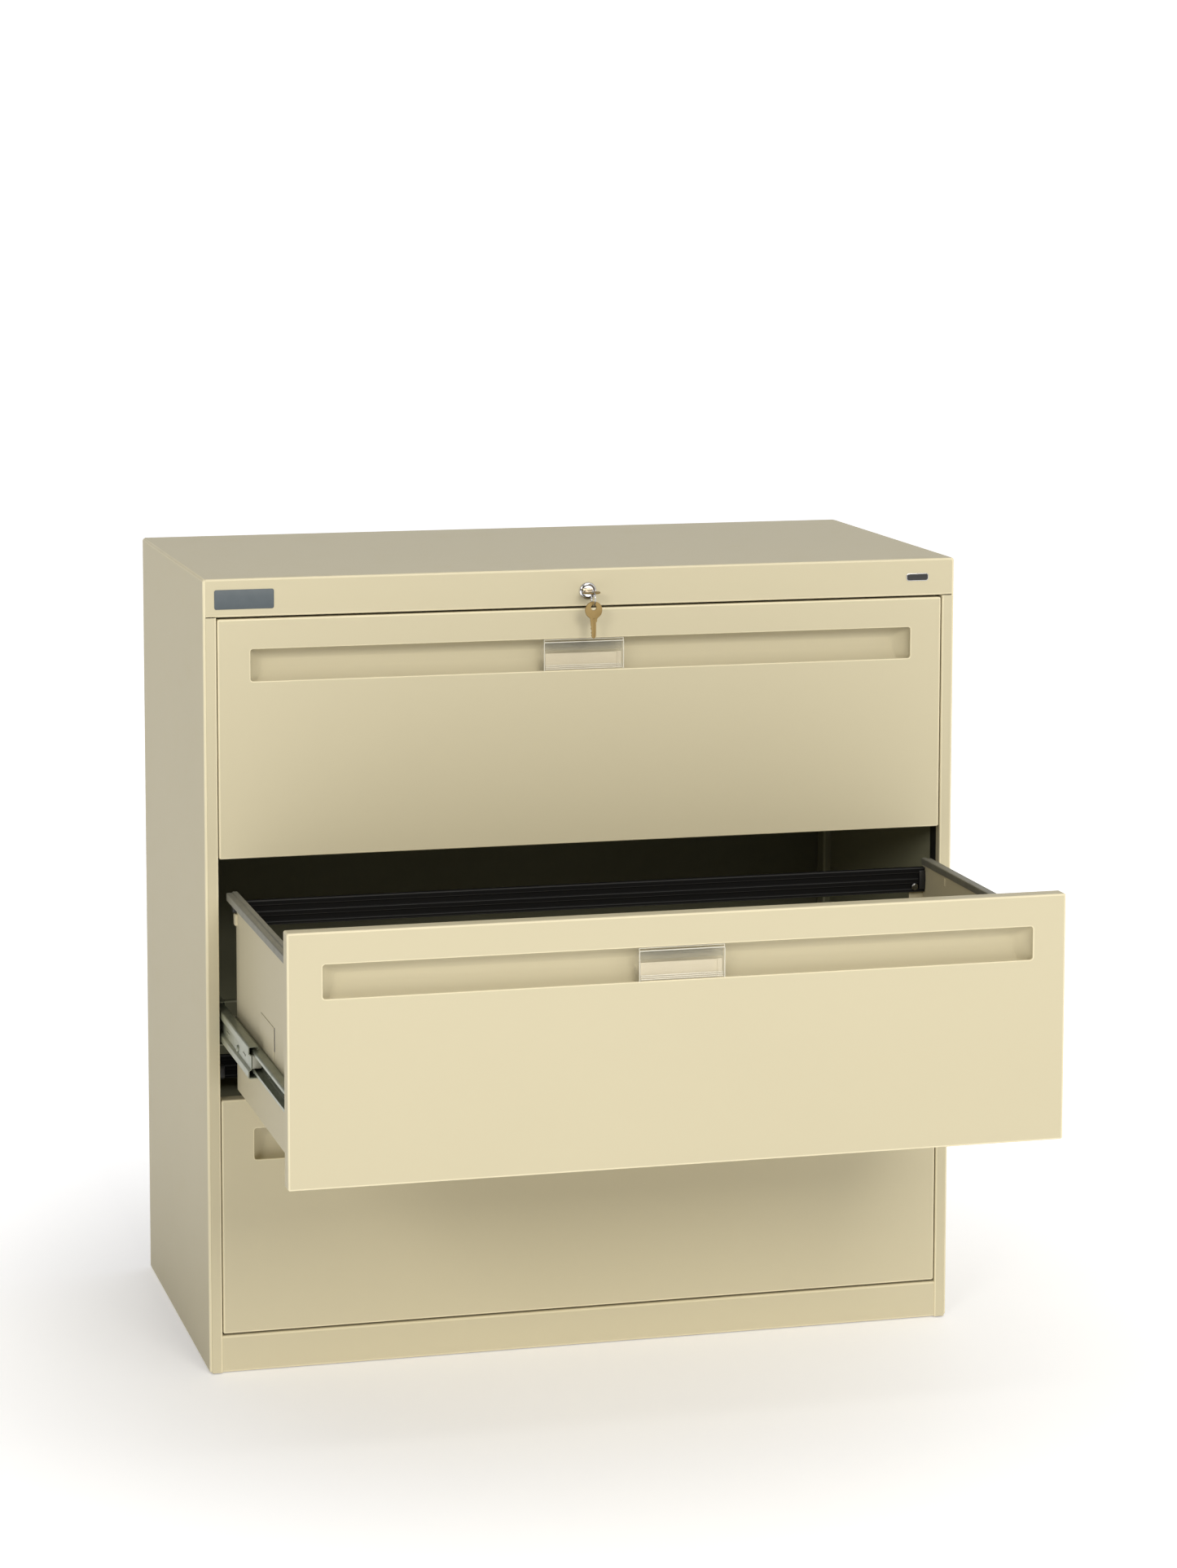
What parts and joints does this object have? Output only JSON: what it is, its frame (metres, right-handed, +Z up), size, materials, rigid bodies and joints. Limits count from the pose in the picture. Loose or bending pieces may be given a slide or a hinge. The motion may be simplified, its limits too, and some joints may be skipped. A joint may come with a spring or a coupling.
{
  "type": "filing cabinet",
  "caption": "Lateral filing cabinet of folded sheet steel: full-width drawers on telescopic slides with recessed finger pulls, and a keyed lock in the header.",
  "frame": {"origin": "on the floor, under the middle of the outline that the case and the open middle drawer make together", "axes": "+Z up, +Y from the drawers' front to the back panel, +X to the right of a person who faces the drawers"},
  "size_m": [0.9144, 0.8772, 0.9402],
  "materials": {
    "putty_paint": "semi-gloss putty powder coat",
    "interior_paint": "dark matt paint",
    "black_paint": "satin black paint",
    "zinc_plate": "yellowish zinc plating",
    "chrome_plate": "bright chrome",
    "brass": "stamped brass",
    "steel_wire": "bright spring wire",
    "clear_plastic": "clear extruded plastic",
    "black_plastic": "matt black plastic"
  },
  "bodies": {
    "case": {"side_panel_left": "putty_paint", "side_panel_right": "putty_paint", "slide_liner_left": "interior_paint", "slide_liner_right": "interior_paint", "glide_front_left": "black_plastic", "glide_front_right": "black_plastic", "glide_rear_left": "black_plastic", "glide_rear_right": "black_plastic", "top_panel": "putty_paint", "base_panel": "putty_paint", "back_panel": "putty_paint", "lock_housing": "chrome_plate", "lock_bar_guide_near": "zinc_plate", "lock_bar_guide_far": "zinc_plate", "lower_slide_case_member_left": "zinc_plate", "lower_slide_case_member_right": "zinc_plate", "middle_slide_case_member_left": "zinc_plate", "middle_slide_case_member_right": "zinc_plate", "upper_slide_case_member_left": "zinc_plate", "upper_slide_case_member_right": "zinc_plate"},
    "lower_drawer": {"lower_drawer_front": "putty_paint", "lower_pull_channel": "putty_paint", "lower_label_holder": "clear_plastic", "lower_drawer_floor": "putty_paint", "lower_front_rail": "black_paint", "lower_rear_rail": "black_paint", "lower_drawer_side_left": "putty_paint", "lower_drawer_side_right": "putty_paint", "lower_slide_drawer_member_left": "zinc_plate", "lower_slide_drawer_member_right": "zinc_plate"},
    "lower_slide_extension": {"lower_slide_middle_member_left": "zinc_plate", "lower_slide_middle_member_right": "zinc_plate"},
    "middle_drawer": {"middle_drawer_front": "putty_paint", "middle_pull_channel": "putty_paint", "middle_label_holder": "clear_plastic", "middle_drawer_floor": "putty_paint", "middle_front_rail": "black_paint", "middle_rear_rail": "black_paint", "middle_drawer_side_left": "putty_paint", "middle_drawer_side_right": "putty_paint", "middle_slide_drawer_member_left": "zinc_plate", "middle_slide_drawer_member_right": "zinc_plate"},
    "middle_slide_extension": {"middle_slide_middle_member_left": "zinc_plate", "middle_slide_middle_member_right": "zinc_plate"},
    "upper_drawer": {"upper_drawer_front": "putty_paint", "upper_pull_channel": "putty_paint", "upper_label_holder": "clear_plastic", "upper_drawer_floor": "putty_paint", "upper_front_rail": "black_paint", "upper_rear_rail": "black_paint", "upper_drawer_side_left": "putty_paint", "upper_drawer_side_right": "putty_paint", "upper_slide_drawer_member_left": "zinc_plate", "upper_slide_drawer_member_right": "zinc_plate"},
    "upper_slide_extension": {"upper_slide_middle_member_left": "zinc_plate", "upper_slide_middle_member_right": "zinc_plate"},
    "lock_bar": {"lock_bar": "zinc_plate"},
    "lock_plug": {"lock_plug": "chrome_plate"},
    "key": {"key_in_lock": "brass"},
    "key_ring": {"key_ring": "steel_wire"}
  },
  "joints": [
    {"name": "lower_drawer_travel", "type": "slide", "parent": "case", "child": "lower_drawer", "axis": [0, -1, 0], "range_m": [0, 0.42]},
    {"name": "lower_slide_extension_travel", "type": "slide", "parent": "case", "child": "lower_slide_extension", "axis": [0, -1, 0], "range_m": [0, 0.21]},
    {"name": "middle_drawer_travel", "type": "slide", "parent": "case", "child": "middle_drawer", "axis": [0, -1, 0], "range_m": [-0.42, 0]},
    {"name": "middle_slide_extension_travel", "type": "slide", "parent": "case", "child": "middle_slide_extension", "axis": [0, -1, 0], "range_m": [-0.21, 0]},
    {"name": "upper_drawer_travel", "type": "slide", "parent": "case", "child": "upper_drawer", "axis": [0, -1, 0], "range_m": [0, 0.42]},
    {"name": "upper_slide_extension_travel", "type": "slide", "parent": "case", "child": "upper_slide_extension", "axis": [0, -1, 0], "range_m": [0, 0.21]},
    {"name": "lock_turn", "type": "hinge", "parent": "case", "child": "lock_plug", "pos_m": [0, -0.0186, 0.9135], "axis": [0, 1, 0], "range_deg": [0, 90]},
    {"name": "lock_bar_travel", "type": "slide", "parent": "case", "child": "lock_bar", "axis": [1, 0, 0], "range_m": [0, 0.0113]},
    {"name": "key_withdrawal", "type": "slide", "parent": "lock_plug", "child": "key", "axis": [0, -1, 0], "range_m": [0, 0.018]},
    {"name": "key_ring_swing", "type": "hinge", "parent": "key", "child": "key_ring", "pos_m": [0, -0.0453, 0.9135], "axis": [1, 0, 0], "range_deg": [-5, 5]}
  ],
  "couplings": [
    {"joint": "lower_slide_extension_travel", "follows": "lower_drawer_travel", "ratio": 0.5},
    {"joint": "middle_slide_extension_travel", "follows": "middle_drawer_travel", "ratio": 0.5},
    {"joint": "upper_slide_extension_travel", "follows": "upper_drawer_travel", "ratio": 0.5},
    {"joint": "lock_turn", "follows": "lock_bar_travel", "rad_per_m": 138.8}
  ]
}
